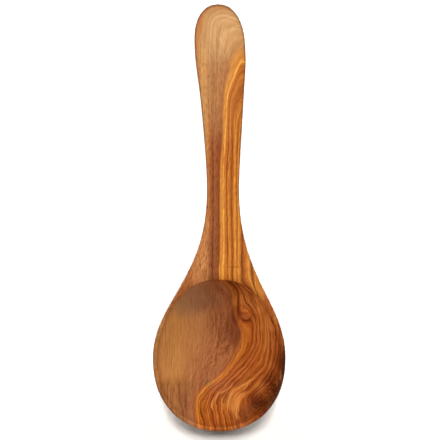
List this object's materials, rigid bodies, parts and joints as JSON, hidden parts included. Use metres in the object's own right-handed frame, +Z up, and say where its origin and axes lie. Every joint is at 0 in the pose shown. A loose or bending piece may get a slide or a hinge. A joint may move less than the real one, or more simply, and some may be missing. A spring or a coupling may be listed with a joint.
{
  "type": "wooden ladle",
  "caption": "Ladle carved from one piece of olive wood, with a deep egg-shaped bowl and a flat, paddle-ended handle.",
  "frame": {"origin": "on the worktop, below the middle of the ladle's outline", "axes": "+Z up out of the bowl's mouth, +Y along the handle towards the end of the grip, +X across the bowl"},
  "size_m": [0.093, 0.2978, 0.0441],
  "materials": {
    "oiled_wood": "sanded smooth and oiled, low satin sheen"
  },
  "bodies": {
    "root": {"carved_ladle": "oiled_wood"}
  },
  "joints": []
}
